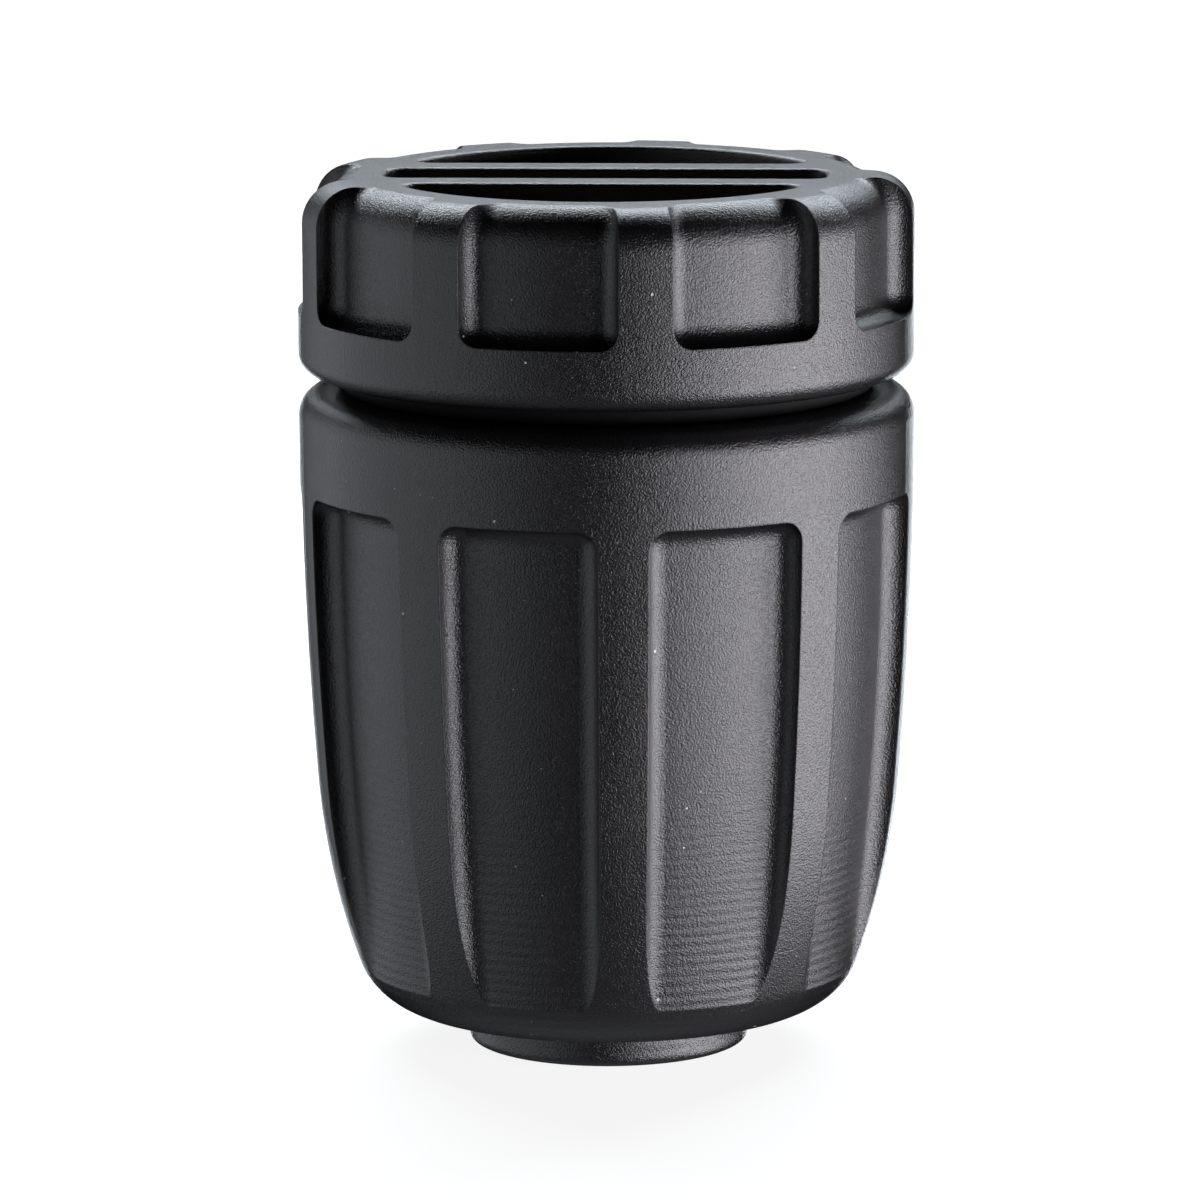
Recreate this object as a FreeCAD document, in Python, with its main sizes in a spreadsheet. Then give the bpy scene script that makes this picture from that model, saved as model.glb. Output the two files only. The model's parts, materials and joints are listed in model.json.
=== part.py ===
import FreeCAD, Part
import math
import os

import Sketcher
from FreeCAD import Vector

# Free-spinning finger knob for a crank handle, in millimetres.
# Z is the spin axis.  The origin is the middle of the boss face that turns against the crank arm.
# An inner stack (bearing inner rings, spacer, washers, screw) stays with the crank's axle.
# The fluted barrel spins round it on two ball bearings, and a slotted cap screws onto its neck.

DRIVING_SIZES = [
    ("grip_radius", 19.0, "outside of the barrel and of the cap"),
    ("shoulder_height", 41.2, "boss face to the shoulder under the cap"),
    ("shoulder_rounding", 1.6, "outer edge of the shoulder"),
    ("straight_side", 2.0, "upright part of the side, measured down from the shoulder"),
    ("bend_split_height", 17.0, "where the gentle bend of the side meets the tighter one"),
    ("upper_bend_radius", 275.0, "gentle bend of the side"),
    ("lower_bend_radius", 45.0, "tighter bend of the side, towards the rim"),
    ("rim_height", 2.6, "sharp corner of side and underside, before it is rounded"),
    ("rim_rounding", 4.5, "rounding of that corner"),
    ("boss_wall", 3.2, "boss round the lower bearing seat"),
    ("boss_height", 2.1, "boss face to the underside"),
    ("boss_rounding", 0.55, "outer edge of the boss face"),
    ("boss_root_rounding", 0.3, "inside corner of boss and underside"),
    ("flute_count", 9.0, "flutes round the barrel"),
    ("flute_angle", 30.6, "width of one flute, in degrees"),
    ("flute_turn", 295.8, "middle of the first flute from +X, in degrees"),
    ("flute_depth", 1.55, "depth at the flute's top end"),
    ("flute_margin", 6.0, "shoulder down to the flute's top end"),
    ("flute_bend_radius", 230.0, "lengthwise bend of the flute's floor"),
    ("flute_rounding", 1.3, "inside corners of a flute"),
    ("hub_wall", 2.9, "hub tube round the bearing seats"),
    ("hollow_floor_height", 12.0, "floor of the ring-shaped hollow round the hub"),
    ("hollow_rounding", 1.0, "floor corners of that hollow"),
    ("hollow_step", 0.4, "step from the screw well down to that hollow"),
    ("neck_inset", 3.9, "grip radius down to the thread's root on the neck"),
    ("neck_height", 9.8, "shoulder to the neck's rim"),
    ("neck_wall", 1.3, "neck wall under the thread"),
    ("thread_pitch", 1.5, "cap thread, one turn"),
    ("thread_depth", 0.75, "height of a thread ridge"),
    ("thread_play", 0.15, "crest to root gap between the two threads"),
    ("thread_start", 2.8, "shoulder to the first ridge of the neck"),
    ("thread_length", 6.0, "threaded length on the neck and in the cap"),
    ("ridge_root_share", 0.34, "half a ridge's root, as a share of the pitch"),
    ("ridge_crest_share", 0.12, "half a ridge's crest, as a share of the pitch"),
    ("ridge_bite", 0.1, "how far a ridge's root lies inside the wall that it joins"),
    ("seal_section", 1.6, "seal ring, across its round section"),
    ("seal_play", 0.02, "seal ring to the neck and the shoulder"),
    ("seal_room", 0.3, "seal ring to the cap's counterbore"),
    ("cap_gap", 1.1, "shoulder to the cap's lower edge"),
    ("cap_top_rounding", 2.5, "outer edge of the cap's top"),
    ("cap_foot_rounding", 1.2, "outer edge of the cap's foot"),
    ("counterbore_depth", 0.9, "counterbore over the seal ring, above the cap's lower edge"),
    ("plate_thickness", 2.6, "slotted top plate of the cap"),
    ("washer_thickness", 0.8, "plastic washer between neck rim and plate"),
    ("washer_room", 0.1, "washer to the thread crests and to the well"),
    ("rim_cover", 0.26, "how far the plate reaches in over the neck"),
    ("bar_width", 2.8, "one bar across the opening"),
    ("bar_offset", 3.7, "middle of a bar from the axis"),
    ("bar_bite", 0.5, "how far a bar runs into the plate's ring"),
    ("window_rounding", 1.0, "corners of the windows"),
    ("window_edge", 0.3, "rounded upper edges of the windows"),
    ("pocket_count", 9.0, "grip pockets round the cap"),
    ("pocket_angle", 30.0, "width of one pocket, in degrees"),
    ("pocket_turn", 300.0, "middle of the first pocket from +X, in degrees"),
    ("pocket_depth", 1.55, "depth of a pocket"),
    ("pocket_foot", 3.8, "cap's lower edge up to the pocket"),
    ("pocket_rounding", 1.2, "inside corners of a pocket"),
    ("pocket_crown", 0.06, "crown of the pocket's roll-over, above the plate"),
    ("pocket_arc_end", 0.045, "where the roll-over's arc stops, above the plate"),
    ("axle_radius", 3.5, "bore for the crank's axle"),
    ("bearing_radius", 5.5, "outside of a ball bearing"),
    ("bearing_width", 3.0, "width of a ball bearing"),
    ("ball_radius", 0.6, "one ball"),
    ("ball_sink", 0.2, "how deep a ball sits in each ring"),
    ("ball_play", 0.03, "ball to groove, and cage pocket over a ball"),
    ("ball_count", 11.0, "balls in one bearing"),
    ("cage_wall", 0.4, "thickness of the ball cage"),
    ("cage_height", 1.8, "height of the ball cage"),
    ("shield_thickness", 0.2, "bearing shield"),
    ("shield_inset", 0.15, "shield below the bearing's face"),
    ("shield_lap", 0.2, "how far a shield reaches into the outer ring"),
    ("shield_play", 0.1, "shield to the inner ring"),
    ("shim_inset", 0.1, "shim washer above the boss face"),
    ("shim_thickness", 0.5, "shim washer under the lower bearing"),
    ("stack_wall", 0.6, "wall of the shim washer and of the tube's slim ends"),
    ("spacer_length", 29.4, "tube between the two inner rings"),
    ("spacer_land", 4.5, "stretch at each end of the tube that fits the axle"),
    ("spacer_relief", 0.4, "bore relief between those stretches"),
    ("spacer_step", 1.0, "slim end of the tube beside a bearing"),
    ("spacer_bulge", 0.3, "tube's body over its slim ends"),
    ("hub_lip", 0.2, "hub above the upper bearing"),
    ("retainer_radius", 4.5, "retaining washer"),
    ("retainer_thickness", 0.8, "retaining washer"),
    ("retainer_play", 0.15, "retaining washer to the screw"),
    ("screw_radius", 2.0, "shank of the retaining screw"),
    ("screw_reach", 6.0, "shank below the washer's top"),
    ("screw_chamfer", 0.4, "end of the shank"),
    ("head_radius", 3.5, "head of the retaining screw"),
    ("head_height", 2.2, "head of the retaining screw"),
    ("head_rounding", 0.5, "upper edge of the head"),
    ("socket_flats", 2.5, "hexagon socket, across its flats"),
    ("socket_depth", 1.3, "hexagon socket"),
]

# Heights and radii that several pieces share, worked out from the sheet.
NECK_ROOT = "(Sizes.grip_radius - Sizes.neck_inset)"
NECK_CREST = "(Sizes.grip_radius - Sizes.neck_inset + Sizes.thread_depth)"
CAP_BORE = "(Sizes.grip_radius - Sizes.neck_inset + Sizes.thread_depth + Sizes.thread_play)"
WELL_RADIUS = "(Sizes.grip_radius - Sizes.neck_inset - Sizes.neck_wall)"
NECK_RIM = "(Sizes.shoulder_height + Sizes.neck_height)"
PLATE_UNDERSIDE = "(Sizes.shoulder_height + Sizes.neck_height + Sizes.washer_thickness)"
CAP_TOP = ("(Sizes.shoulder_height + Sizes.neck_height + Sizes.washer_thickness"
           " + Sizes.plate_thickness)")
CAP_FOOT = "(Sizes.shoulder_height + Sizes.cap_gap)"
HUB_RADIUS = "(Sizes.bearing_radius + Sizes.hub_wall)"
BOSS_RADIUS = "(Sizes.bearing_radius + Sizes.boss_wall)"
STACK_RADIUS = "(Sizes.axle_radius + Sizes.stack_wall)"
BALL_CIRCLE = "((Sizes.axle_radius + Sizes.bearing_radius) / 2)"
INNER_SHOULDER = "(%s - Sizes.ball_radius + Sizes.ball_sink)" % BALL_CIRCLE
OUTER_SHOULDER = "(%s + Sizes.ball_radius - Sizes.ball_sink)" % BALL_CIRCLE
GROOVE_RADIUS = "(Sizes.ball_radius + Sizes.ball_play)"
LOWER_BEARING = "(Sizes.shim_inset + Sizes.shim_thickness)"
UPPER_BEARING = ("(Sizes.shim_inset + Sizes.shim_thickness + Sizes.bearing_width"
                 " + Sizes.spacer_length)")
STACK_TOP = ("(Sizes.shim_inset + Sizes.shim_thickness + 2 * Sizes.bearing_width"
             " + Sizes.spacer_length)")
OVERSHOOT = 2.0          # how far a cutting shape runs past the surface that it cuts
SAME_PLACE = 1e-3        # points and radii closer than this are one and the same
H_AXIS = -1              # a sketch's own axes, as its constraints number them
V_AXIS = -2

doc = FreeCAD.newDocument("FingerKnob")


def make_sheet():
    sheet = doc.addObject("Spreadsheet::Sheet", "Sizes")
    for row, (alias, value, note) in enumerate(DRIVING_SIZES, start=1):
        sheet.set("A%d" % row, alias)
        sheet.set("B%d" % row, str(value))
        sheet.set("C%d" % row, note)
        sheet.setAlias("B%d" % row, alias)
    doc.recompute()
    return sheet


sizes = make_sheet()


def number(expression):
    return float(sizes.evalExpression(expression))


# Sketches and features.

def new_body(name):
    body = doc.addObject("PartDesign::Body", name)
    body.Label = name
    return body


def new_sketch(body, name, role="XZ_Plane"):
    plane = [feature for feature in body.Origin.OriginFeatures if feature.Role == role][0]
    sketch = body.newObject("Sketcher::SketchObject", name)
    sketch.AttachmentSupport = [(plane, "")]
    sketch.MapMode = "FlatFace"
    return sketch


def hold(sketch, kind, places, expression):
    # One driving dimension of a sketch, bound to the sheet.
    index = sketch.addConstraint(Sketcher.Constraint(kind, *places, number(expression)))
    sketch.setExpression("Constraints[%d]" % index, expression)


def hold_point(sketch, geometry, end, across, up):
    hold_distance(sketch, "DistanceX", V_AXIS, geometry, end, across)
    hold_distance(sketch, "DistanceY", H_AXIS, geometry, end, up)


def hold_distance(sketch, kind, axis, geometry, end, expression):
    # A distance of nothing is a point on the sketch's own axis.
    if expression == "0":
        sketch.addConstraint(Sketcher.Constraint("PointOnObject", geometry, end, axis))
    else:
        hold(sketch, kind, (-1, 1, geometry, end), expression)


def add_line(sketch, start, end):
    return sketch.addGeometry(Part.LineSegment(Vector(*start, 0), Vector(*end, 0)), False)


def join(sketch, *pairs):
    # Each pair is (edge, its end, next edge, its end).
    for pair in pairs:
        sketch.addConstraint(Sketcher.Constraint("Coincident", *pair))


def keep(sketch, kind, *edges):
    for edge in edges:
        sketch.addConstraint(Sketcher.Constraint(kind, edge))


def add_chain(sketch, corners, closed=True):
    # Straight edges through (across, up) expressions; returns the first edge's number.
    places = [(number(across), number(up)) for across, up in corners]
    ends = places[1:] + places[:1] if closed else places[1:]
    first = sketch.GeometryCount
    for start, end in zip(places, ends):
        add_line(sketch, start, end)
    last = sketch.GeometryCount - 1
    for edge in range(first, last):
        join(sketch, (edge, 2, edge + 1, 1))
    if closed:
        join(sketch, (last, 2, first, 1))
    for offset, (across, up) in enumerate(corners):
        if first + offset <= last:
            hold_point(sketch, first + offset, 1, across, up)
        else:
            hold_point(sketch, last, 2, across, up)
    return first


def add_arc(sketch, centre, radius, low, high):
    # Arc of a circle, counterclockwise between two angles in radians.
    circle = Part.Circle(Vector(centre[0], centre[1], 0), Vector(0, 0, 1), radius)
    return sketch.addGeometry(Part.ArcOfCircle(circle, low, high), False)


def revolve(body, sketch, angle=None):
    turned = body.newObject("PartDesign::Revolution", sketch.Name + "_turned")
    turned.Profile = sketch
    turned.ReferenceAxis = (sketch, ["V_Axis"])
    turned.Angle = 360.0
    if angle:
        turned.Midplane = True
        turned.setExpression("Angle", angle)
    doc.recompute()
    return turned


def turned_body(name, corners):
    body = new_body(name)
    sketch = new_sketch(body, name + "_outline")
    add_chain(sketch, corners)
    revolve(body, sketch)
    return body


def pad(body, sketch, length, reversed_way=False):
    padded = body.newObject("PartDesign::Pad", sketch.Name + "_pad")
    padded.Profile = sketch
    padded.Reversed = reversed_way
    padded.setExpression("Length", length)
    doc.recompute()
    return padded


def round_edges(body, edges, radius):
    # edges are picked on the body's present tip.
    base = body.Tip
    rounded = body.newObject("PartDesign::Fillet", body.Name + "_rounding")
    rounded.Base = (base, edges)
    rounded.setExpression("Radius", radius)
    doc.recompute()
    return rounded


def pick_edges(shape, test):
    return ["Edge%d" % place for place, edge in enumerate(shape.Edges, start=1) if test(edge)]


def ring_edges(shape, radius, height):
    # Full circles about the axis.
    def matches(edge):
        if not isinstance(edge.Curve, Part.Circle):
            return False
        centre = edge.Curve.Center
        return (abs(edge.Curve.Radius - radius) < SAME_PLACE
                and abs(centre.z - height) < SAME_PLACE
                and math.hypot(centre.x, centre.y) < SAME_PLACE)
    return pick_edges(shape, matches)


def edges_meeting(shape, corners):
    # Edges with an end at one of the corners.
    def matches(edge):
        return any((vertex.Point - corner).Length < SAME_PLACE
                   for vertex in edge.Vertexes for corner in corners)
    return pick_edges(shape, matches)


def wedge_corners(radius, half_angle, height):
    angle = math.radians(half_angle)
    return [Vector(radius * math.cos(angle), side * radius * math.sin(angle), height)
            for side in (-1, 1)]


def repeat_round(body, count, first_angle):
    # Repeats the whole body about Z and turns it to its first place.
    axis = [feature for feature in body.Origin.OriginFeatures if feature.Role == "Z_Axis"][0]
    pattern = body.newObject("PartDesign::PolarPattern", body.Name + "_round")
    pattern.TransformMode = "Whole shape"
    pattern.Axis = (axis, [""])
    pattern.Angle = 360.0
    pattern.setExpression("Occurrences", count)
    body.Tip = pattern
    body.Placement.Rotation = FreeCAD.Rotation(Vector(0, 0, 1), 0)
    body.setExpression(".Placement.Rotation.Angle", first_angle + " * 1 deg")
    doc.recompute()
    return body


def lift(piece, height):
    piece.setExpression(".Placement.Base.z", height)


def combine(kind, label, base, tool):
    result = doc.addObject(kind, label)
    result.Base = base
    result.Tool = tool
    result.Label = label
    doc.recompute()
    return result


# Barrel.

def barrel_outline(body):
    # Half section, from the lower bearing seat round the outside to the neck and back down
    # the hollow and the hub.
    sketch = new_sketch(body, "barrel_outline")
    seat_top = LOWER_BEARING + " + Sizes.bearing_width"
    bend_start = "(Sizes.shoulder_height - Sizes.straight_side)"
    hollow_radius = WELL_RADIUS + " - Sizes.hollow_step"
    hub_top = STACK_TOP + " + Sizes.hub_lip"
    first = add_chain(sketch, [
        ("Sizes.grip_radius", bend_start),
        ("Sizes.grip_radius", "Sizes.shoulder_height"),
        (NECK_ROOT, "Sizes.shoulder_height"),
        (NECK_ROOT, NECK_RIM),
        (WELL_RADIUS, NECK_RIM),
        (WELL_RADIUS, hub_top),
        (hollow_radius, hub_top),
        (hollow_radius, "Sizes.hollow_floor_height"),
        (HUB_RADIUS, "Sizes.hollow_floor_height"),
        (HUB_RADIUS, hub_top),
        ("Sizes.bearing_radius", hub_top),
        ("Sizes.bearing_radius", UPPER_BEARING),
        (OUTER_SHOULDER, UPPER_BEARING),
        (OUTER_SHOULDER, seat_top),
        ("Sizes.bearing_radius", seat_top),
        ("Sizes.bearing_radius", "0"),
        (BOSS_RADIUS, "0"),
        (BOSS_RADIUS, "Sizes.boss_height"),
    ], closed=False)
    last = sketch.GeometryCount - 1

    start = number(bend_start)
    split = number("Sizes.bend_split_height")
    rim = number("Sizes.rim_height")
    wide = number("Sizes.upper_bend_radius")
    tight = number("Sizes.lower_bend_radius")
    turn = math.asin((start - split) / wide)
    upper_centre = (number("Sizes.grip_radius") - wide, start)
    upper = add_arc(sketch, upper_centre, wide, -turn, 0.0)
    meeting = (upper_centre[0] + wide * math.cos(turn), split)
    lower_centre = (meeting[0] - tight * math.cos(turn), split + tight * math.sin(turn))
    rim_turn = math.asin((lower_centre[1] - rim) / tight)
    lower = add_arc(sketch, lower_centre, tight, -rim_turn, -turn)
    corner = (lower_centre[0] + tight * math.cos(rim_turn), rim)
    underside = add_line(sketch, (number(BOSS_RADIUS), number("Sizes.boss_height")), corner)

    sketch.addConstraint(Sketcher.Constraint("Tangent", first, 1, upper, 2))
    sketch.addConstraint(Sketcher.Constraint("Tangent", upper, 1, lower, 2))
    join(sketch, (underside, 1, last, 2), (underside, 2, lower, 1))
    hold(sketch, "Radius", (upper,), "Sizes.upper_bend_radius")
    hold(sketch, "Radius", (lower,), "Sizes.lower_bend_radius")
    hold(sketch, "DistanceY", (-1, 1, upper, 1), "Sizes.bend_split_height")
    hold(sketch, "DistanceY", (-1, 1, lower, 1), "Sizes.rim_height")
    return sketch, corner


def turned_barrel():
    body = new_body("barrel_turned")
    sketch, rim_corner = barrel_outline(body)
    revolve(body, sketch)
    roundings = [
        (rim_corner, "Sizes.rim_rounding"),
        ((number("Sizes.grip_radius"), number("Sizes.shoulder_height")), "Sizes.shoulder_rounding"),
        ((number(BOSS_RADIUS), 0.0), "Sizes.boss_rounding"),
        ((number(BOSS_RADIUS), number("Sizes.boss_height")), "Sizes.boss_root_rounding"),
    ]
    for (radius, height), rounding in roundings:
        round_edges(body, ring_edges(body.Tip.Shape, radius, height), rounding)
    floor = number("Sizes.hollow_floor_height")
    hollow_radius = number(WELL_RADIUS + " - Sizes.hollow_step")
    floor_edges = ring_edges(body.Tip.Shape, number(HUB_RADIUS), floor)
    floor_edges += ring_edges(body.Tip.Shape, hollow_radius, floor)
    round_edges(body, floor_edges, "Sizes.hollow_rounding")
    return body


def flute_cutter():
    # One wedge whose floor bends in towards the rim, with ball-nosed inside corners, nine times.
    body = new_body("flute_cutter")
    sketch = new_sketch(body, "flute_floor")
    top = "(Sizes.shoulder_height - Sizes.flute_margin)"
    floor_top = "(Sizes.grip_radius - Sizes.flute_depth)"
    outside = "(Sizes.grip_radius + %s)" % OVERSHOOT
    first = add_chain(sketch, [
        (outside, "0"),
        (outside, top),
        (floor_top, top),
    ], closed=False)
    bend = number("Sizes.flute_bend_radius")
    turn = math.asin(number(top) / bend)
    centre = (number(floor_top) - bend, number(top))
    floor = add_arc(sketch, centre, bend, -turn, 0.0)
    base = add_line(sketch, (centre[0] + bend * math.cos(turn), 0.0), (number(outside), 0.0))
    join(sketch, (first + 1, 2, floor, 2), (floor, 1, base, 1), (base, 2, first, 1))
    keep(sketch, "Horizontal", base)
    hold(sketch, "Radius", (floor,), "Sizes.flute_bend_radius")
    hold(sketch, "DistanceY", (-1, 1, floor, 3), top)
    revolve(body, sketch, "Sizes.flute_angle")
    corners = wedge_corners(number(floor_top), number("Sizes.flute_angle") / 2, number(top))
    round_edges(body, edges_meeting(body.Tip.Shape, corners), "Sizes.flute_rounding")
    return repeat_round(body, "Sizes.flute_count", "Sizes.flute_turn")


# Thread.

def thread_ridge(name, root, crest, start):
    # Right-hand helical ridge; its root edge lies a little inside the wall that it joins.
    way = "-" if number(crest) > number(root) else "+"
    path = doc.addObject("Part::Helix", name + "_path")
    path.setExpression("Pitch", "Sizes.thread_pitch")
    path.setExpression("Height", "Sizes.thread_length")
    path.setExpression("Radius", root)
    sketch = doc.addObject("Sketcher::SketchObject", name + "_section")
    sketch.Placement = FreeCAD.Placement(Vector(0, 0, 0), FreeCAD.Rotation(Vector(1, 0, 0), 90))
    inside = "%s %s Sizes.ridge_bite" % (root, way)
    half_root = "Sizes.ridge_root_share * Sizes.thread_pitch"
    half_crest = "Sizes.ridge_crest_share * Sizes.thread_pitch"
    add_chain(sketch, [
        (inside, "-1 * " + half_root),
        (crest, "-1 * " + half_crest),
        (crest, half_crest),
        (inside, half_root),
    ])
    doc.recompute()
    ridge = doc.addObject("Part::Sweep", name)
    ridge.Sections = [sketch]
    ridge.Spine = (path, [])
    ridge.Solid = True
    ridge.Frenet = True
    lift(ridge, start)
    doc.recompute()
    return ridge


def knob_barrel():
    fluted = combine("Part::Cut", "barrel_fluted", turned_barrel(), flute_cutter())
    start = "Sizes.shoulder_height + Sizes.thread_start"
    ridge = thread_ridge("neck_thread", NECK_ROOT, NECK_CREST, start)
    return combine("Part::Fuse", "knob_barrel", fluted, ridge)


# Cap.

def turned_cap():
    # Cup with a counterbore over the seal ring, a thread bore and a ring-shaped top.
    counterbore_top = CAP_FOOT + " + Sizes.counterbore_depth"
    counterbore = NECK_ROOT + " + Sizes.seal_section + Sizes.seal_room"
    opening = WELL_RADIUS + " - Sizes.rim_cover"
    body = turned_body("cap_turned", [
        (opening, PLATE_UNDERSIDE),
        (CAP_BORE, PLATE_UNDERSIDE),
        (CAP_BORE, counterbore_top),
        (counterbore, counterbore_top),
        (counterbore, CAP_FOOT),
        ("Sizes.grip_radius", CAP_FOOT),
        ("Sizes.grip_radius", CAP_TOP),
        (opening, CAP_TOP),
    ])
    grip = number("Sizes.grip_radius")
    for height, rounding in ((number(CAP_TOP), "Sizes.cap_top_rounding"),
                             (number(CAP_FOOT), "Sizes.cap_foot_rounding")):
        round_edges(body, ring_edges(body.Tip.Shape, grip, height), rounding)
    add_bars(body)
    return body


def add_bars(body):
    # Two bars along X across the opening, flush with the plate's two faces.
    opening = number(WELL_RADIUS + " - Sizes.rim_cover")
    top = number(CAP_TOP)
    underside = number(PLATE_UNDERSIDE)
    for name, side in (("rear_bar", 1), ("front_bar", -1)):
        sketch = new_sketch(body, name, "XY_Plane")
        sketch.AttachmentOffset = FreeCAD.Placement(Vector(0, 0, underside), FreeCAD.Rotation())
        sketch.setExpression(".AttachmentOffset.Base.z", PLATE_UNDERSIDE)
        reach = "(%s - Sizes.rim_cover + Sizes.bar_bite)" % WELL_RADIUS
        middle = "%d * Sizes.bar_offset" % side
        add_chain(sketch, [
            ("-1 * " + reach, middle + " - Sizes.bar_width / 2"),
            (reach, middle + " - Sizes.bar_width / 2"),
            (reach, middle + " + Sizes.bar_width / 2"),
            ("-1 * " + reach, middle + " + Sizes.bar_width / 2"),
        ])
        doc.recompute()
        pad(body, sketch, "Sizes.plate_thickness")

    def window_corner(edge):
        # Upright edges where a bar meets the round opening.
        if not isinstance(edge.Curve, Part.Line) or len(edge.Vertexes) != 2:
            return False
        ends = [vertex.Point for vertex in edge.Vertexes]
        drift = math.hypot(ends[0].x - ends[1].x, ends[0].y - ends[1].y)
        radius = math.hypot(ends[0].x, ends[0].y)
        return drift < SAME_PLACE and abs(radius - opening) < SAME_PLACE

    round_edges(body, pick_edges(body.Tip.Shape, window_corner), "Sizes.window_rounding")

    def window_rim(edge):
        # Upper edges of the windows.
        return all(abs(vertex.Point.z - top) < SAME_PLACE
                   and math.hypot(vertex.Point.x, vertex.Point.y) < opening + SAME_PLACE
                   for vertex in edge.Vertexes)

    round_edges(body, pick_edges(body.Tip.Shape, window_rim), "Sizes.window_edge")


def pocket_cutter():
    # One wedge whose floor rolls over into the top as the cap's edge does, nine times.
    body = new_body("pocket_cutter")
    sketch = new_sketch(body, "pocket_floor")
    foot = "(Sizes.shoulder_height + Sizes.cap_gap + Sizes.pocket_foot)"
    floor = "(Sizes.grip_radius - Sizes.pocket_depth)"
    outside = "(Sizes.grip_radius + %s)" % OVERSHOOT
    above = "(%s + %s)" % (CAP_TOP, OVERSHOOT)
    roll = number("Sizes.cap_top_rounding")
    crown = number("Sizes.pocket_crown")
    arc_end = number("Sizes.pocket_arc_end")
    centre = (number(floor) - roll, number(CAP_TOP) + crown - roll)
    steep = math.asin(1.0 - (crown - arc_end) / roll)
    arc = add_arc(sketch, centre, roll, 0.0, steep)
    edge_x = centre[0] + roll * math.cos(steep)
    chain = add_chain(sketch, [
        (floor, foot),
        (outside, foot),
        (outside, above),
    ], closed=False)
    wall = add_line(sketch, (number(floor), centre[1]), (number(floor), number(foot)))
    lid = add_line(sketch, (number(outside), number(above)), (edge_x, number(above)))
    riser = add_line(sketch, (edge_x, number(above)), (edge_x, number(CAP_TOP) + arc_end))
    join(sketch, (wall, 2, chain, 1), (chain + 1, 2, lid, 1), (lid, 2, riser, 1), (riser, 2, arc, 2))
    sketch.addConstraint(Sketcher.Constraint("Tangent", wall, 1, arc, 1))
    keep(sketch, "Vertical", wall, riser)
    keep(sketch, "Horizontal", lid)
    hold(sketch, "Radius", (arc,), "Sizes.cap_top_rounding")
    wall_top = CAP_TOP + " + Sizes.pocket_crown - Sizes.cap_top_rounding"
    hold(sketch, "DistanceY", (-1, 1, arc, 1), wall_top)
    hold(sketch, "DistanceY", (-1, 1, arc, 2), CAP_TOP + " + Sizes.pocket_arc_end")
    revolve(body, sketch, "Sizes.pocket_angle")
    corners = wedge_corners(number(floor), number("Sizes.pocket_angle") / 2, number(foot))
    round_edges(body, edges_meeting(body.Tip.Shape, corners), "Sizes.pocket_rounding")
    return repeat_round(body, "Sizes.pocket_count", "Sizes.pocket_turn")


def end_cap():
    pocketed = combine("Part::Cut", "cap_pocketed", turned_cap(), pocket_cutter())
    crest = CAP_BORE + " - Sizes.thread_depth"
    start = "Sizes.shoulder_height + Sizes.thread_start + Sizes.thread_pitch / 2"
    ridge = thread_ridge("cap_thread", CAP_BORE, crest, start)
    return combine("Part::Fuse", "end_cap", pocketed, ridge)


def cap_seal_ring():
    ring = doc.addObject("Part::Torus", "cap_seal_ring")
    ring.setExpression("Radius1", NECK_ROOT + " + Sizes.seal_section / 2 + Sizes.seal_play")
    ring.setExpression("Radius2", "Sizes.seal_section / 2")
    lift(ring, "Sizes.shoulder_height + Sizes.seal_section / 2 + Sizes.seal_play")
    ring.Label = "cap_seal_ring"
    return ring


def cap_thrust_washer():
    inner = WELL_RADIUS + " + Sizes.washer_room"
    outer = CAP_BORE + " - Sizes.thread_depth - 2 * Sizes.washer_room"
    return turned_body("cap_thrust_washer", [
        (inner, NECK_RIM),
        (outer, NECK_RIM),
        (outer, PLATE_UNDERSIDE),
        (inner, PLATE_UNDERSIDE),
    ])


# Ball bearings.

def add_grooved_outline(sketch, corners):
    # Ring section; the side from its last corner back to its first faces the balls and has
    # a round groove at mid width.
    shoulder = number(corners[0][0])
    middle = number("Sizes.bearing_width / 2")
    groove = number(GROOVE_RADIUS)
    reach = shoulder - number(BALL_CIRCLE)
    half = math.acos(abs(reach) / groove)
    gap = groove * math.sin(half)
    facing, upper_end, lower_end = (math.pi, 1, 2) if reach < 0 else (0.0, 2, 1)
    first = add_chain(sketch, corners, closed=False)
    last = sketch.GeometryCount - 1
    arc = add_arc(sketch, (number(BALL_CIRCLE), middle), groove, facing - half, facing + half)
    high = add_line(sketch, (shoulder, number(corners[-1][1])), (shoulder, middle + gap))
    low = add_line(sketch, (shoulder, middle - gap), (shoulder, number(corners[0][1])))
    join(sketch, (last, 2, high, 1), (high, 2, arc, upper_end), (arc, lower_end, low, 1),
         (low, 2, first, 1))
    keep(sketch, "Vertical", low, high)
    hold(sketch, "Radius", (arc,), GROOVE_RADIUS)
    hold_point(sketch, arc, 3, BALL_CIRCLE, "Sizes.bearing_width / 2")


def grooved_ring(name, base, corners):
    body = new_body(name)
    sketch = new_sketch(body, name + "_outline")
    add_grooved_outline(sketch, corners)
    revolve(body, sketch)
    lift(body, base)
    return body


def bearing_inner_ring(name, base):
    return grooved_ring(name, base, [
        (INNER_SHOULDER, "0"),
        ("Sizes.axle_radius", "0"),
        ("Sizes.axle_radius", "Sizes.bearing_width"),
        (INNER_SHOULDER, "Sizes.bearing_width"),
    ])


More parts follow.
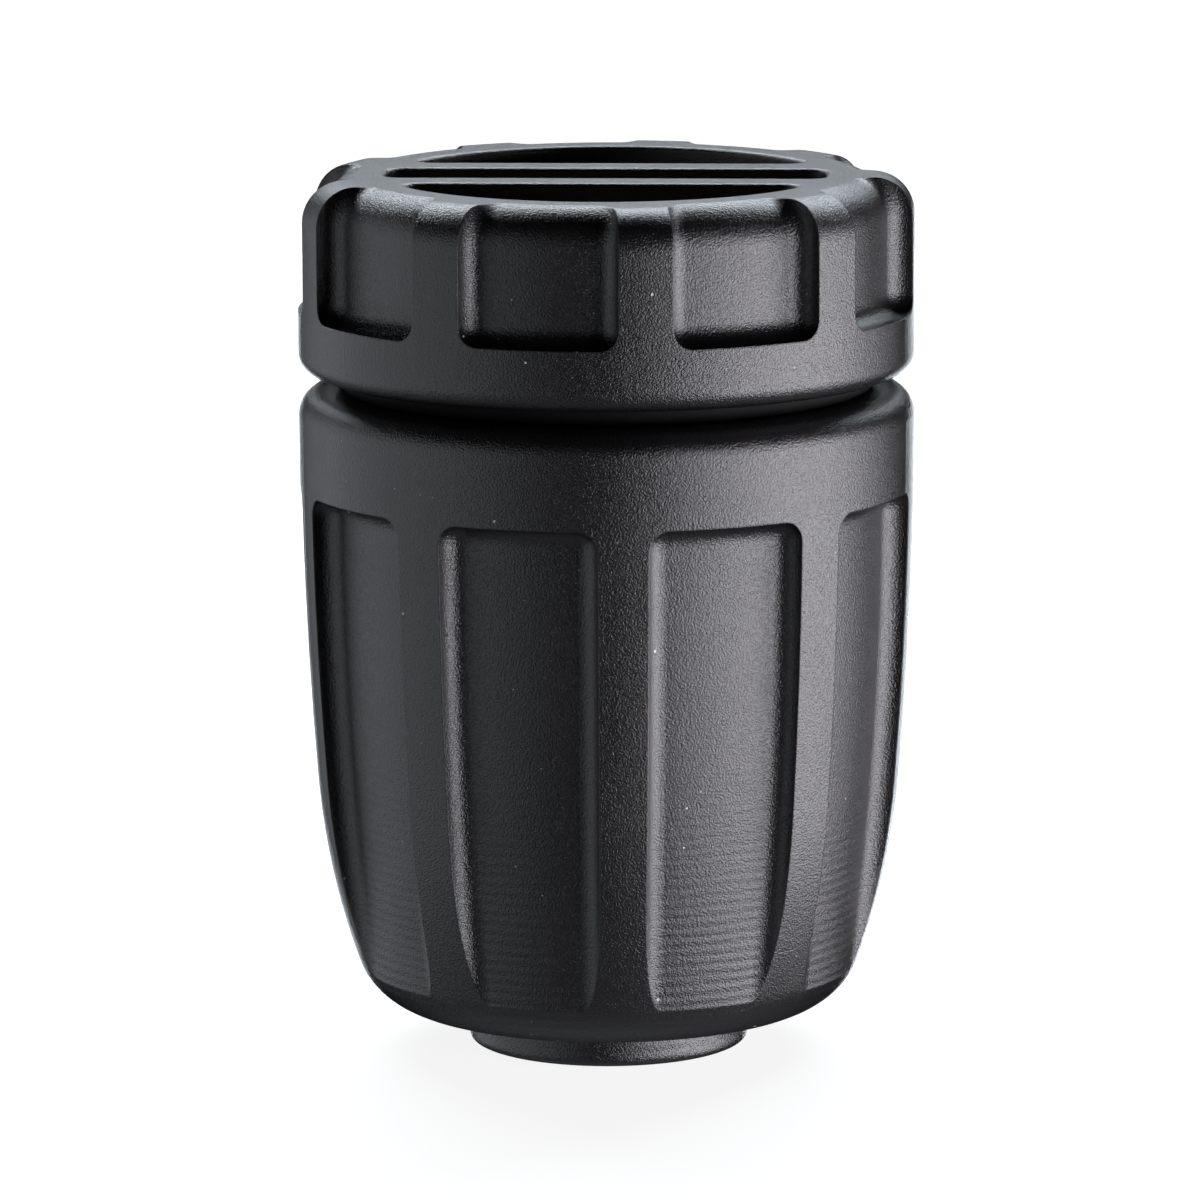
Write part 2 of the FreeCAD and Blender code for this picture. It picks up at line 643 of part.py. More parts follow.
def bearing_outer_ring(name, base):
    # The shields lie in a step at each face, so the section starts and ends at those steps.
    step = "(Sizes.shield_inset + Sizes.shield_thickness)"
    step_radius = "(%s + Sizes.shield_lap)" % OUTER_SHOULDER
    return grooved_ring(name, base, [
        (OUTER_SHOULDER, step),
        (step_radius, step),
        (step_radius, "0"),
        ("Sizes.bearing_radius", "0"),
        ("Sizes.bearing_radius", "Sizes.bearing_width"),
        (step_radius, "Sizes.bearing_width"),
        (step_radius, "Sizes.bearing_width - " + step),
        (OUTER_SHOULDER, "Sizes.bearing_width - " + step),
    ])


def bearing_balls(name, base):
    # One sphere for each ball place, on the ball circle at mid width.
    spheres = []
    for place in range(int(number("Sizes.ball_count"))):
        sphere = doc.addObject("Part::Sphere", "%s_%d" % (name, place + 1))
        sphere.setExpression("Radius", "Sizes.ball_radius")
        angle = "%d * 360 deg / Sizes.ball_count" % place
        sphere.setExpression(".Placement.Base.x", "%s * cos(%s)" % (BALL_CIRCLE, angle))
        sphere.setExpression(".Placement.Base.y", "%s * sin(%s)" % (BALL_CIRCLE, angle))
        sphere.setExpression(".Placement.Base.z", base + " + Sizes.bearing_width / 2")
        spheres.append(sphere)
    return compound(name, spheres)


def compound(name, pieces):
    group = doc.addObject("Part::Compound", name)
    group.Links = pieces
    group.Label = name
    doc.recompute()
    return group


def cage_holes(name, base):
    # One radial hole for each ball.
    holes = []
    count = int(number("Sizes.ball_count"))
    for place in range(count):
        hole = doc.addObject("Part::Cylinder", "%s_%d" % (name, place + 1))
        hole.setExpression("Radius", GROOVE_RADIUS)
        hole.setExpression("Height", "Sizes.bearing_radius")
        angle = 2 * math.pi * place / count
        crosswise = Vector(-math.sin(angle), math.cos(angle), 0)
        hole.Placement.Rotation = FreeCAD.Rotation(crosswise, 90)
        lift(hole, base + " + Sizes.bearing_width / 2")
        holes.append(hole)
    return compound(name, holes)


def bearing_cage(name, base):
    tube = doc.addObject("Part::Cylinder", name + "_outside")
    tube.setExpression("Radius", BALL_CIRCLE + " + Sizes.cage_wall / 2")
    bore = doc.addObject("Part::Cylinder", name + "_bore")
    bore.setExpression("Radius", BALL_CIRCLE + " - Sizes.cage_wall / 2")
    for cylinder in (tube, bore):
        cylinder.setExpression("Height", "Sizes.cage_height")
        lift(cylinder, base + " + (Sizes.bearing_width - Sizes.cage_height) / 2")
    ring = combine("Part::Cut", name + "_ring", tube, bore)
    return combine("Part::Cut", name, ring, cage_holes(name + "_holes", base))


def bearing_shield(name, base, inset):
    inner = INNER_SHOULDER + " + Sizes.shield_play"
    outer = "%s + Sizes.shield_lap" % OUTER_SHOULDER
    body = turned_body(name, [
        (inner, "0"),
        (outer, "0"),
        (outer, "Sizes.shield_thickness"),
        (inner, "Sizes.shield_thickness"),
    ])
    lift(body, "%s + %s" % (base, inset))
    return body


def ball_bearing(where, base):
    upper_inset = "Sizes.bearing_width - Sizes.shield_inset - Sizes.shield_thickness"
    return [
        bearing_inner_ring(where + "_bearing_inner_ring", base),
        bearing_outer_ring(where + "_bearing_outer_ring", base),
        bearing_balls(where + "_bearing_balls", base),
        bearing_cage(where + "_bearing_cage", base),
        bearing_shield(where + "_bearing_bottom_shield", base, "Sizes.shield_inset"),
        bearing_shield(where + "_bearing_top_shield", base, upper_inset),
    ]


# Inner stack.

def shim_washer():
    return turned_body("shim_washer", [
        ("Sizes.axle_radius", "Sizes.shim_inset"),
        (STACK_RADIUS, "Sizes.shim_inset"),
        (STACK_RADIUS, LOWER_BEARING),
        ("Sizes.axle_radius", LOWER_BEARING),
    ])


def inner_spacer():
    # Fits the axle at both ends only; its slim ends clear the bearing shields.
    low = "(%s + Sizes.bearing_width)" % LOWER_BEARING
    high = UPPER_BEARING
    wide = "(%s + Sizes.spacer_bulge)" % STACK_RADIUS
    relief = "(Sizes.axle_radius + Sizes.spacer_relief)"
    return turned_body("inner_spacer", [
        ("Sizes.axle_radius", low),
        (STACK_RADIUS, low),
        (STACK_RADIUS, low + " + Sizes.spacer_step"),
        (wide, low + " + Sizes.spacer_step"),
        (wide, high + " - Sizes.spacer_step"),
        (STACK_RADIUS, high + " - Sizes.spacer_step"),
        (STACK_RADIUS, high),
        ("Sizes.axle_radius", high),
        ("Sizes.axle_radius", high + " - Sizes.spacer_land"),
        (relief, high + " - Sizes.spacer_land"),
        (relief, low + " + Sizes.spacer_land"),
        ("Sizes.axle_radius", low + " + Sizes.spacer_land"),
    ])


def retaining_washer():
    top = "%s + Sizes.retainer_thickness" % STACK_TOP
    bore = "Sizes.screw_radius + Sizes.retainer_play"
    return turned_body("retaining_washer", [
        (bore, STACK_TOP),
        ("Sizes.retainer_radius", STACK_TOP),
        ("Sizes.retainer_radius", top),
        (bore, top),
    ])


def retaining_screw():
    seat = "(%s + Sizes.retainer_thickness)" % STACK_TOP
    tip = "(%s - Sizes.screw_reach)" % seat
    top = "(%s + Sizes.head_height)" % seat
    body = turned_body("retaining_screw", [
        ("0", tip),
        ("Sizes.screw_radius - Sizes.screw_chamfer", tip),
        ("Sizes.screw_radius", tip + " + Sizes.screw_chamfer"),
        ("Sizes.screw_radius", seat),
        ("Sizes.head_radius", seat),
        ("Sizes.head_radius", top),
        ("0", top),
    ])
    crown = ring_edges(body.Tip.Shape, number("Sizes.head_radius"), number(top))
    round_edges(body, crown, "Sizes.head_rounding")
    cut_socket(body, top)
    return body


def cut_socket(body, top):
    sketch = new_sketch(body, "hex_socket", "XY_Plane")
    sketch.AttachmentOffset = FreeCAD.Placement(Vector(0, 0, number(top)), FreeCAD.Rotation())
    sketch.setExpression(".AttachmentOffset.Base.z", top)
    add_chain(sketch, hexagon_corners())
    doc.recompute()
    before = body.Tip.Shape.Volume
    socket = body.newObject("PartDesign::Pocket", "socket")
    socket.Profile = sketch
    socket.setExpression("Length", "Sizes.socket_depth")
    doc.recompute()
    if socket.Shape.Volume >= before:
        raise ValueError("the hexagon socket cuts nothing")


def hexagon_corners():
    # Expressions of the six corners; two of them are on the sketch's upright axis.
    reach = "Sizes.socket_flats / 2 / cos(30 deg)"
    corners = []
    for place in range(6):
        angle = 60 * place + 30
        across = "0" if angle in (90, 270) else "%s * cos(%d deg)" % (reach, angle)
        corners.append((across, "%s * sin(%d deg)" % (reach, angle)))
    return corners


# Whole knob.

def build_pieces():
    pieces = [
        knob_barrel(),
        end_cap(),
        cap_seal_ring(),
        cap_thrust_washer(),
        shim_washer(),
        inner_spacer(),
        retaining_washer(),
        retaining_screw(),
    ]
    pieces += ball_bearing("lower", LOWER_BEARING)
    pieces += ball_bearing("upper", UPPER_BEARING)
    doc.recompute()
    return pieces


def check_document(pieces):
    for item in doc.Objects:
        if "Invalid" in item.State or "Error" in item.State:
            raise ValueError("%s did not compute: %s" % (item.Label, item.State))
    for piece in pieces:
        shape = piece.Shape
        if shape.isNull() or not shape.isValid() or not shape.Solids:
            raise ValueError("%s has no valid solid" % piece.Label)


def write_pieces(pieces):
    os.makedirs("parts", exist_ok=True)
    for piece in pieces:
        piece.Shape.exportStep("parts/%s.step" % piece.Label)
        print("%-32s %10.2f mm3" % (piece.Label, piece.Shape.Volume))


all_pieces = build_pieces()
check_document(all_pieces)
write_pieces(all_pieces)
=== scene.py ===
import json
import math
import bpy
from mathutils import Matrix, Vector


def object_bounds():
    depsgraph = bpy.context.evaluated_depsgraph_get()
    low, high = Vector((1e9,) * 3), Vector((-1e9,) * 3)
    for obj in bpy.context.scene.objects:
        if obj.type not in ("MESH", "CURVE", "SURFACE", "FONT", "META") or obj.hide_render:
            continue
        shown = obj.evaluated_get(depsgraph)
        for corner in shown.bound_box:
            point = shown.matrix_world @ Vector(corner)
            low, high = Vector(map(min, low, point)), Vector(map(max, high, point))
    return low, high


# finger knob of a crank handle: looks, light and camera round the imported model
# everything in metres, Z up, the knob spins about Z

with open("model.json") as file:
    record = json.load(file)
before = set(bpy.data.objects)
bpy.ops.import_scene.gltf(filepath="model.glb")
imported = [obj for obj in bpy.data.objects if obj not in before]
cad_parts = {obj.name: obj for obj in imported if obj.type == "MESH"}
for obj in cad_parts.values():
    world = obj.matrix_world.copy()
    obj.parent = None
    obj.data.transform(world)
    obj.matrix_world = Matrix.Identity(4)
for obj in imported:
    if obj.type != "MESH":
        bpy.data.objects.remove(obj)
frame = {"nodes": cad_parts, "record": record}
cadLow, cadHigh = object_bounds()
nodes = frame["nodes"]
subparts = frame["record"]["subparts"]
millimetre = 0.001


def addNode(tree, kind, settings=None, **inputs):
    # an input's name is written with _ for each space
    node = tree.nodes.new(kind)
    for name, value in (settings or {}).items():
        setattr(node, name, value)
    for name, value in inputs.items():
        node.inputs[name.replace("_", " ")].default_value = value
    return node


def maths(tree, operation, *values):
    # each value is a number or the output of another node
    node = addNode(tree, "ShaderNodeMath", {"operation": operation})
    for place, value in enumerate(values):
        if hasattr(value, "is_output"):
            tree.links.new(value, node.inputs[place])
        else:
            node.inputs[place].default_value = value
    return node.outputs[0]


def newGroup(name, inputs, outputs):
    group = bpy.data.node_groups.new(name, "ShaderNodeTree")
    for label, value in inputs.items():
        socket = group.interface.new_socket(label, in_out="INPUT", socket_type="NodeSocketFloat")
        socket.default_value = value
    for label in outputs:
        group.interface.new_socket(label, in_out="OUTPUT", socket_type="NodeSocketFloat")
    return group, group.nodes.new("NodeGroupInput"), group.nodes.new("NodeGroupOutput")


def placeAxes(tree):
    # where a point lies on its piece, split into X, Y and Z
    place = addNode(tree, "ShaderNodeTexCoord")
    axes = addNode(tree, "ShaderNodeSeparateXYZ")
    tree.links.new(place.outputs["Object"], axes.inputs["Vector"])
    return axes.outputs


def scaledPlace(tree, size):
    # object coordinates divided by a size, so one unit of the pattern is that size
    place = addNode(tree, "ShaderNodeTexCoord")
    scale = addNode(tree, "ShaderNodeVectorMath", {"operation": "SCALE"})
    tree.links.new(place.outputs["Object"], scale.inputs[0])
    tree.links.new(maths(tree, "DIVIDE", 1.0, size), scale.inputs["Scale"])
    return scale.outputs["Vector"]


grainSet = {"grain": 0.12 * millimetre, "patch": 6.0 * millimetre, "pitDetail": 2.0, "patchDetail": 3.0,
            "roughness": 0.6}


def makeGrainGroup():
    # fine pits of bead blasting: a height and a slow change of tone
    defaults = {"Grain": grainSet["grain"], "Patch": grainSet["patch"]}
    group, start, end = newGroup("blastedGrain", defaults, ["Height", "Tone"])
    layers = (("Grain", "pitDetail", "Height"), ("Patch", "patchDetail", "Tone"))
    for size, detail, result in layers:
        noise = addNode(group, "ShaderNodeTexNoise", Scale=1.0, Detail=grainSet[detail],
                        Roughness=grainSet["roughness"])
        group.links.new(scaledPlace(group, start.outputs[size]), noise.inputs["Vector"])
        group.links.new(noise.outputs["Fac"], end.inputs[result])
    return group


fleckSet = {"spacing": 1.9 * millimetre, "speck": 0.06, "smallness": 3.0}


def makeFleckGroup():
    # a few specks, most of them far smaller than the largest; used for real dust and for painted glints
    defaults = {"Spacing": fleckSet["spacing"], "Speck": fleckSet["speck"]}
    group, start, end = newGroup("dustAndGlintSpecks", defaults, ["Mask"])
    dots = addNode(group, "ShaderNodeTexVoronoi", {"feature": "F1"}, Scale=1.0, Randomness=1.0)
    group.links.new(scaledPlace(group, start.outputs["Spacing"]), dots.inputs["Vector"])
    split = addNode(group, "ShaderNodeSeparateColor")
    group.links.new(dots.outputs["Color"], split.inputs["Color"])
    share = maths(group, "POWER", split.outputs["Red"], fleckSet["smallness"])
    size = maths(group, "MULTIPLY", share, start.outputs["Speck"])
    group.links.new(maths(group, "LESS_THAN", dots.outputs["Distance"], size), end.inputs["Mask"])
    return group


# heights are from the boss face, angles in degrees about the spin axis
rippleSet = {
    "pitch": 0.62 * millimetre, "fadeTop": 26.0 * millimetre, "fullBelow": 7.0 * millimetre,
    "firstFlute": 295.8, "step": 40.0, "halfWidth": 12.5,
    "wobble": 0.3, "wobbleSize": 3.0 * millimetre, "wobbleDetail": 2.0,
}


def makeRippleGroup():
    # cutter ripple across the flute floors, stronger towards the narrow end
    defaults = {"Pitch": rippleSet["pitch"], "Fade Top": rippleSet["fadeTop"],
                "Full Below": rippleSet["fullBelow"], "First Flute": rippleSet["firstFlute"],
                "Step": rippleSet["step"], "Half Width": rippleSet["halfWidth"]}
    group, start, end = newGroup("cutterRipple", defaults, ["Height"])
    axes = placeAxes(group)

    turn = maths(group, "DEGREES", maths(group, "ARCTAN2", axes["Y"], axes["X"]))
    fromMiddle = maths(group, "SUBTRACT", turn, start.outputs["First Flute"])
    halfStep = maths(group, "MULTIPLY", start.outputs["Step"], 0.5)
    wrapped = maths(group, "WRAP", fromMiddle, halfStep, maths(group, "MULTIPLY", halfStep, -1.0))
    aside = maths(group, "ABSOLUTE", wrapped)
    onFloor = maths(group, "LESS_THAN", aside, start.outputs["Half Width"])

    fade = addNode(group, "ShaderNodeMapRange", {"interpolation_type": "SMOOTHSTEP"})
    group.links.new(axes["Z"], fade.inputs["Value"])
    group.links.new(start.outputs["Fade Top"], fade.inputs["From Min"])
    group.links.new(start.outputs["Full Below"], fade.inputs["From Max"])

    wobble = addNode(group, "ShaderNodeTexNoise", Scale=1.0, Detail=rippleSet["wobbleDetail"])
    group.links.new(scaledPlace(group, rippleSet["wobbleSize"]), wobble.inputs["Vector"])
    sway = maths(group, "MULTIPLY", wobble.outputs["Fac"], rippleSet["wobble"])
    turns = maths(group, "ADD", maths(group, "DIVIDE", axes["Z"], start.outputs["Pitch"]), sway)
    wave = maths(group, "SINE", maths(group, "MULTIPLY", turns, 2 * math.pi))
    patchy = maths(group, "MULTIPLY", wave, wobble.outputs["Fac"])
    faded = maths(group, "MULTIPLY", patchy, fade.outputs["Result"])
    group.links.new(maths(group, "MULTIPLY", faded, onFloor), end.inputs["Height"])
    return group


turnedSet = {"feed": 0.08 * millimetre, "detail": 3.0}


def makeTurnedGroup():
    # rings left by turning, about the spin axis
    group, start, end = newGroup("turnedRings", {"Feed": turnedSet["feed"]}, ["Height"])
    axes = placeAxes(group)
    acrossX = maths(group, "POWER", axes["X"], 2.0)
    acrossY = maths(group, "POWER", axes["Y"], 2.0)
    fromAxis = maths(group, "SQRT", maths(group, "ADD", acrossX, acrossY))
    along = maths(group, "ADD", fromAxis, axes["Z"])
    cuts = addNode(group, "ShaderNodeTexNoise", {"noise_dimensions": "1D"}, Scale=1.0,
                   Detail=turnedSet["detail"])
    group.links.new(maths(group, "DIVIDE", along, start.outputs["Feed"]), cuts.inputs["W"])
    group.links.new(cuts.outputs["Fac"], end.inputs["Height"])
    return group


grainGroup = makeGrainGroup()
fleckGroup = makeFleckGroup()
rippleGroup = makeRippleGroup()
turnedGroup = makeTurnedGroup()
print("patterns made: grain, flecks, ripple, turned rings")


def placeGroup(tree, group, **inputs):
    return addNode(tree, "ShaderNodeGroup", {"node_tree": group}, **inputs)


def newMaterial(name):
    material = bpy.data.materials.new(name)
    material.use_nodes = True
    tree = material.node_tree
    return material, tree, tree.nodes["Principled BSDF"]


def ramp(tree, source, low, high):
    # two colours picked by a 0 to 1 value
    node = addNode(tree, "ShaderNodeMix", {"data_type": "RGBA"})
    node.inputs["A"].default_value = (*low, 1.0)
    node.inputs["B"].default_value = (*high, 1.0)
    tree.links.new(source, node.inputs["Factor"])
    return node.outputs["Result"]


def laidOver(tree, under, mask, colour):
    node = addNode(tree, "ShaderNodeMix", {"data_type": "RGBA"})
    node.inputs["B"].default_value = (*colour, 1.0)
    tree.links.new(under, node.inputs["A"])
    tree.links.new(mask, node.inputs["Factor"])
    return node.outputs["Result"]


def between(tree, source, low, high):
    node = addNode(tree, "ShaderNodeMapRange", To_Min=low, To_Max=high)
    tree.links.new(source, node.inputs["Value"])
    return node.outputs["Result"]


def addRelief(tree, shader, height, normal=None):
    # height in metres
    bump = addNode(tree, "ShaderNodeBump", Strength=1.0, Distance=1.0)
    tree.links.new(height, bump.inputs["Height"])
    if normal is not None:
        tree.links.new(normal, bump.inputs["Normal"])
    tree.links.new(bump.outputs["Normal"], shader.inputs["Normal"])


# black anodised metal: barrel and cap
anodised = {
    "dark": (0.0022, 0.0022, 0.0027), "light": (0.0062, 0.0050, 0.0056),
    # the bluish speck colour and its spacing and size below are for painted glints, not a colour of the
    # metal
    "dust": (0.45, 0.45, 0.46), "paintedGlint": (0.20, 0.23, 0.28),
    "paintedGlintSpacing": 0.8 * millimetre, "paintedGlintSize": 0.09,
    "roughLow": 0.25, "roughHigh": 0.33,
    "grain": 0.125 * millimetre, "grainDepth": 0.057 * millimetre,
    "rippleDepth": 0.014 * millimetre,
    "edgeBreak": 0.16 * millimetre, "edgeSamples": 4,
    "refraction": 1.62,
}


def anodisedMaterial(name, rippled):
    material, tree, shader = newMaterial(name)
    grain = placeGroup(tree, grainGroup, Grain=anodised["grain"])
    flecks = placeGroup(tree, fleckGroup)
    # bright bluish specks laid into the base colour: painted glints of the blasted surface
    paintedGlints = placeGroup(tree, fleckGroup, Spacing=anodised["paintedGlintSpacing"], Speck=anodised["paintedGlintSize"])
    colour = ramp(tree, grain.outputs["Tone"], anodised["dark"], anodised["light"])
    colour = laidOver(tree, colour, paintedGlints.outputs["Mask"], anodised["paintedGlint"])
    colour = laidOver(tree, colour, flecks.outputs["Mask"], anodised["dust"])
    tree.links.new(colour, shader.inputs["Base Color"])
    rough = between(tree, grain.outputs["Tone"], anodised["roughLow"], anodised["roughHigh"])
    tree.links.new(rough, shader.inputs["Roughness"])
    height = maths(tree, "MULTIPLY", grain.outputs["Height"], anodised["grainDepth"])
    if rippled:
        ripple = placeGroup(tree, rippleGroup)
        waves = maths(tree, "MULTIPLY", ripple.outputs["Height"], anodised["rippleDepth"])
        height = maths(tree, "ADD", height, waves)
    edge = addNode(tree, "ShaderNodeBevel", {"samples": anodised["edgeSamples"]},
                   Radius=anodised["edgeBreak"])
    addRelief(tree, shader, height, edge.outputs["Normal"])
    shader.inputs["Metallic"].default_value = 0.0
    shader.inputs["IOR"].default_value = anodised["refraction"]
    return material


# turned and ground metal inside the knob; feed is the spacing of the tool marks, depth their height
metals = {
    "spacerAlloy": {"dark": (0.55, 0.55, 0.57), "light": (0.68, 0.68, 0.70), "rough": 0.34,
                    "feed": 0.09 * millimetre, "depth": 0.004 * millimetre},
    "shimSteel": {"dark": (0.50, 0.50, 0.51), "light": (0.60, 0.60, 0.61), "rough": 0.30,
                  "feed": 0.06 * millimetre, "depth": 0.002 * millimetre},
    "washerSteel": {"dark": (0.46, 0.46, 0.47), "light": (0.56, 0.56, 0.57), "rough": 0.32,
                    "feed": 0.09 * millimetre, "depth": 0.004 * millimetre},
    "screwSteel": {"dark": (0.42, 0.42, 0.43), "light": (0.54, 0.54, 0.55), "rough": 0.30,
                   "feed": 0.11 * millimetre, "depth": 0.004 * millimetre},
    "ringSteel": {"dark": (0.52, 0.52, 0.54), "light": (0.62, 0.62, 0.64), "rough": 0.20,
                  "feed": 0.04 * millimetre, "depth": 0.001 * millimetre},
    "ballSteel": {"dark": (0.62, 0.62, 0.64), "light": (0.68, 0.68, 0.70), "rough": 0.12,
                  "feed": 0.03 * millimetre, "depth": 0.0002 * millimetre},
    "cageBrass": {"dark": (0.60, 0.43, 0.19), "light": (0.70, 0.52, 0.26), "rough": 0.30,
                  "feed": 0.07 * millimetre, "depth": 0.003 * millimetre},
    "shieldSteel": {"dark": (0.48, 0.48, 0.50), "light": (0.58, 0.58, 0.60), "rough": 0.28,
                    "feed": 0.10 * millimetre, "depth": 0.003 * millimetre},
}
metalSpread = {"smoother": 0.06, "rougher": 0.08}


def turnedMetal(name):
    values = metals[name]
    material, tree, shader = newMaterial(name)
    rings = placeGroup(tree, turnedGroup, Feed=values["feed"])
    grain = placeGroup(tree, grainGroup)
    colour = ramp(tree, grain.outputs["Tone"], values["dark"], values["light"])
    tree.links.new(colour, shader.inputs["Base Color"])
    rough = between(tree, rings.outputs["Height"], values["rough"] - metalSpread["smoother"],
                    values["rough"] + metalSpread["rougher"])
    tree.links.new(rough, shader.inputs["Roughness"])
    addRelief(tree, shader, maths(tree, "MULTIPLY", rings.outputs["Height"], values["depth"]))
    shader.inputs["Metallic"].default_value = 1.0
    return material


# rubber and dark plastic; shine is the strength of the surface reflection
softs = {
    "sealRubber": {"dark": (0.002, 0.002, 0.002), "light": (0.005, 0.005, 0.005), "rough": 0.72,
                   "grain": 0.2 * millimetre, "depth": 0.005 * millimetre, "shine": 0.1},
    "washerPlastic": {"dark": (0.02, 0.02, 0.02), "light": (0.03, 0.03, 0.03), "rough": 0.45,
                      "grain": 0.3 * millimetre, "depth": 0.002 * millimetre, "shine": 0.5},
}
softSpread = {"smoother": 0.05, "rougher": 0.08}


def softBlack(name):
    values = softs[name]
    material, tree, shader = newMaterial(name)
    grain = placeGroup(tree, grainGroup, Grain=values["grain"])
    colour = ramp(tree, grain.outputs["Tone"], values["dark"], values["light"])
    tree.links.new(colour, shader.inputs["Base Color"])
    rough = between(tree, grain.outputs["Tone"], values["rough"] - softSpread["smoother"],
                    values["rough"] + softSpread["rougher"])
    tree.links.new(rough, shader.inputs["Roughness"])
    addRelief(tree, shader, maths(tree, "MULTIPLY", grain.outputs["Height"], values["depth"]))
    shader.inputs["Specular IOR Level"].default_value = values["shine"]
    return material


finishes = {
    "barrel_black": anodisedMaterial("barrelBlack", rippled=True),
    "cap_black": anodisedMaterial("capBlack", rippled=False),
    "seal_rubber": softBlack("sealRubber"),
    "washer_plastic": softBlack("washerPlastic"),
    "spacer_alloy": turnedMetal("spacerAlloy"),
    "shim_steel": turnedMetal("shimSteel"),
    "washer_steel": turnedMetal("washerSteel"),
    "screw_steel": turnedMetal("screwSteel"),
    "ring_steel": turnedMetal("ringSteel"),
    "ball_steel": turnedMetal("ballSteel"),
    "cage_brass": turnedMetal("cageBrass"),
    "shield_steel": turnedMetal("shieldSteel"),
}

for entry in subparts:
    piece = nodes[entry["node"]]
    piece.data.materials.clear()
    piece.data.materials.append(finishes[entry["material_slot"]])
print("finishes laid on", len(subparts), "nodes")


stageSet = {
    "radius": 1.2, "corners": 96, "tone": 0.40, "roughness": 0.9,
    "paintedShadowGlow": 0.86, "glowFar": 1.0, "paintedShadowReach": 0.16,
}


def makeFloor():
    # pale floor that the camera sees nearly white and the knob doesn't mirror; its glow is dimmed near
    # the knob, a painted contact shadow
    bpy.ops.mesh.primitive_circle_add(vertices=stageSet["corners"], radius=stageSet["radius"],
                                      fill_type="NGON", location=(0, 0, cadLow.z))
    floor = bpy.context.object
    floor.name = "paleFloor"
    floor.visible_glossy = False
    floor.visible_shadow = False
    material, tree, shader = newMaterial("paleFloor")
    tone = stageSet["tone"]
    shader.inputs["Base Color"].default_value = (tone, tone, tone, 1.0)
    shader.inputs["Roughness"].default_value = stageSet["roughness"]
    shader.inputs["Specular IOR Level"].default_value = 0.0
    shader.inputs["Emission Color"].default_value = (1.0, 1.0, 1.0, 1.0)
    place = addNode(tree, "ShaderNodeTexCoord")
    away = addNode(tree, "ShaderNodeVectorMath", {"operation": "LENGTH"})
    tree.links.new(place.outputs["Object"], away.inputs[0])
    # emission that grows from dim near the knob to full further out: a painted shadow around the knob,
    # seen by the camera only
    glowWithPaintedShadow = addNode(tree, "ShaderNodeMapRange", {"interpolation_type": "SMOOTHSTEP"},
                   From_Max=stageSet["paintedShadowReach"], To_Min=stageSet["paintedShadowGlow"],
                   To_Max=stageSet["glowFar"])
    tree.links.new(away.outputs["Value"], glowWithPaintedShadow.inputs["Value"])
    path = addNode(tree, "ShaderNodeLightPath")
    seen = maths(tree, "MULTIPLY", glowWithPaintedShadow.outputs["Result"], path.outputs["Is Camera Ray"])
    tree.links.new(seen, shader.inputs["Emission Strength"])
    floor.data.materials.append(material)


worldSet = {"backdrop": 1.0, "gloom": 0.003, "gloomColour": (0.85, 0.92, 1.0, 1.0)}


def makeWorld():
    # white behind the knob, and almost no light from it
    world = bpy.data.worlds.new("studioWorld")
    bpy.context.scene.world = world
    world.use_nodes = True
    tree = world.node_tree
    path = addNode(tree, "ShaderNodeLightPath")
    backdrop = addNode(tree, "ShaderNodeBackground", Color=(1.0, 1.0, 1.0, 1.0),
                       Strength=worldSet["backdrop"])
    gloom = addNode(tree, "ShaderNodeBackground", Color=worldSet["gloomColour"],
                    Strength=worldSet["gloom"])
    choose = addNode(tree, "ShaderNodeMixShader")
    tree.links.new(path.outputs["Is Camera Ray"], choose.inputs[0])
    tree.links.new(gloom.outputs[0], choose.inputs[1])
    tree.links.new(backdrop.outputs[0], choose.inputs[2])
    tree.links.new(choose.outputs[0], tree.nodes["World Output"].inputs["Surface"])


makeFloor()
makeWorld()
print("floor and world made")


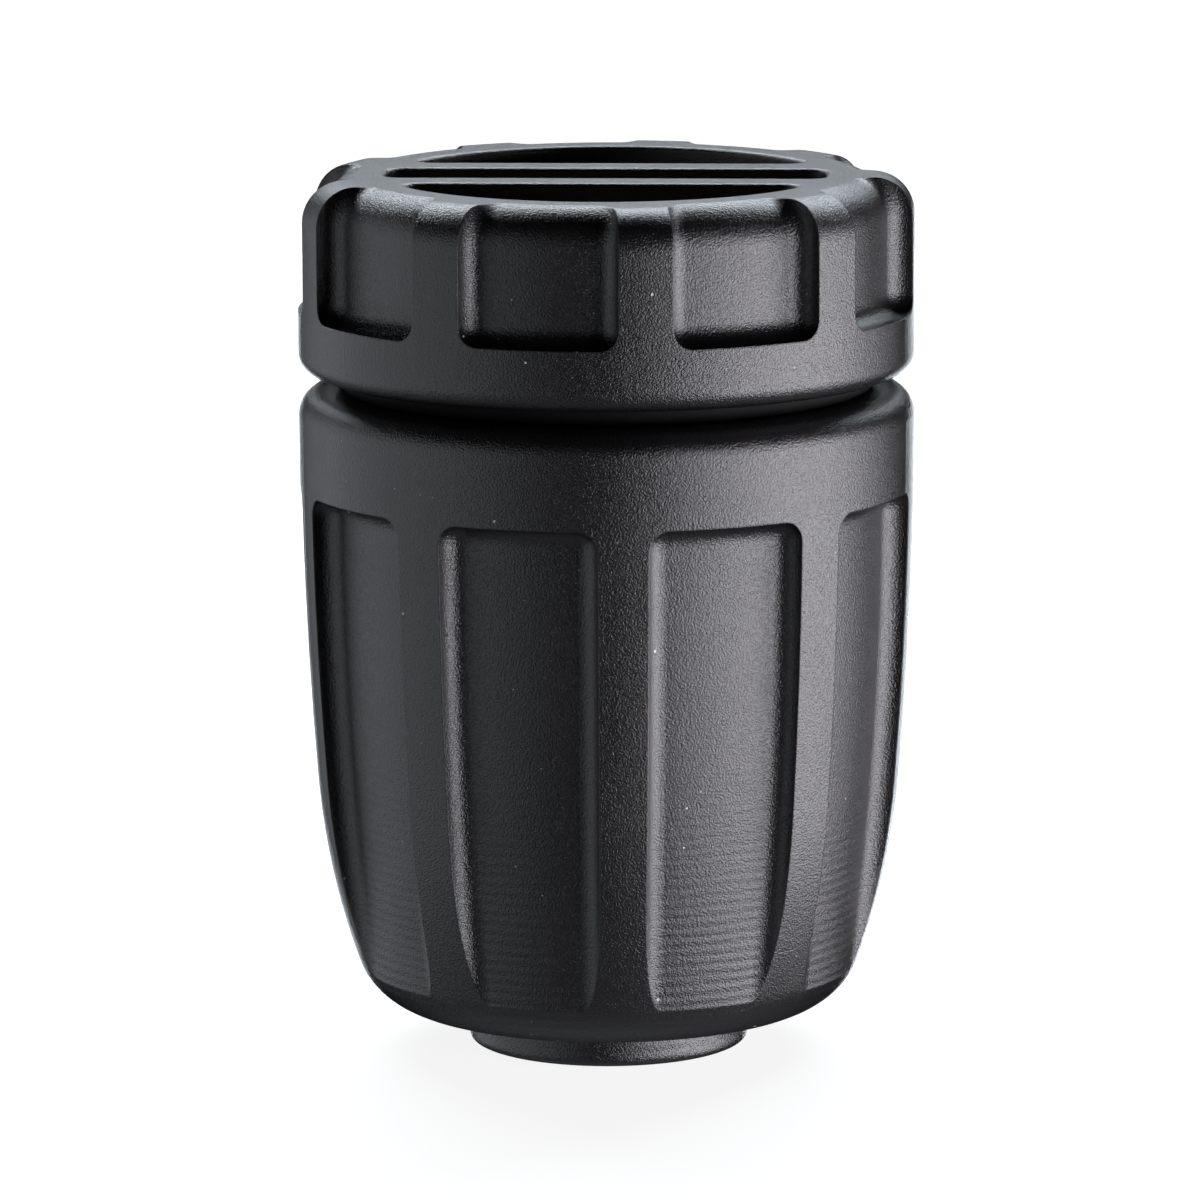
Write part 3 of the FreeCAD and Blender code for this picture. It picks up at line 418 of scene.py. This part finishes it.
# azimuth from -Y towards +X and elevation in degrees, distance and size in metres
lightSet = {
    "keyRight": {"azimuth": 72, "elevation": -10, "distance": 0.36, "size": (0.57, 0.215), "power": 3.1,
                 "colour": (0.955, 0.935, 1.0)},
    "fillLeft": {"azimuth": -86, "elevation": -6, "distance": 0.36, "size": (1.20, 0.40), "power": 1.3,
                 "colour": (0.90, 0.94, 1.0)},
    "topBack": {"azimuth": 180, "elevation": 44, "distance": 0.34, "size": (0.50, 0.14), "power": 1.9,
                "colour": (0.86, 0.93, 1.0)},
    "lowBack": {"azimuth": 180, "elevation": -11, "distance": 0.36, "size": (0.22, 0.12), "power": 0.45,
                "colour": (0.88, 0.94, 1.0)},
    "tableBounce": {"azimuth": 0, "elevation": -86, "distance": 0.22, "size": (0.40, 0.40), "power": 0.13,
                    "colour": (0.90, 0.94, 1.0)},
}


def aimedPlace(azimuth, elevation, distance, target):
    around, up = math.radians(azimuth), math.radians(elevation)
    back = Vector((math.sin(around) * math.cos(up), -math.cos(around) * math.cos(up), math.sin(up)))
    return target + back * distance, (-back).to_track_quat("-Z", "Y")


def makeLights():
    middle = (cadLow + cadHigh) / 2
    for name, values in lightSet.items():
        data = bpy.data.lights.new(name, "AREA")
        data.shape = "RECTANGLE"
        data.size, data.size_y = values["size"]
        data.energy = values["power"]
        data.color = values["colour"]
        lamp = bpy.data.objects.new(name, data)
        bpy.context.scene.collection.objects.link(lamp)
        place, facing = aimedPlace(values["azimuth"], values["elevation"], values["distance"], middle)
        lamp.location = place
        lamp.rotation_mode = "QUATERNION"
        lamp.rotation_quaternion = facing


cameraSet = {
    "azimuth": 2.8, "elevation": 10.2, "distance": 0.510, "aimHeight": 0.0275, "roll": -0.19,
    "lens": 246.6, "sensor": 36.0, "shift": (-0.0061, 0.0031), "clipStart": 0.02,
}


def makeCamera():
    data = bpy.data.cameras.new("viewCamera")
    data.lens = cameraSet["lens"]
    data.sensor_width = cameraSet["sensor"]
    data.shift_x, data.shift_y = cameraSet["shift"]
    data.clip_start = cameraSet["clipStart"]
    camera = bpy.data.objects.new("viewCamera", data)
    bpy.context.scene.collection.objects.link(camera)
    aim = Vector((0, 0, cameraSet["aimHeight"]))
    place, facing = aimedPlace(cameraSet["azimuth"], cameraSet["elevation"], cameraSet["distance"], aim)
    camera.location = place
    camera.rotation_mode = "QUATERNION"
    roll = Matrix.Rotation(math.radians(cameraSet["roll"]), 3, "Z").to_quaternion()
    camera.rotation_quaternion = facing @ roll
    bpy.context.scene.camera = camera


makeLights()
makeCamera()
bpy.context.scene.view_settings.view_transform = "Standard"
print("lights and camera made:", len(lightSet), "lights")
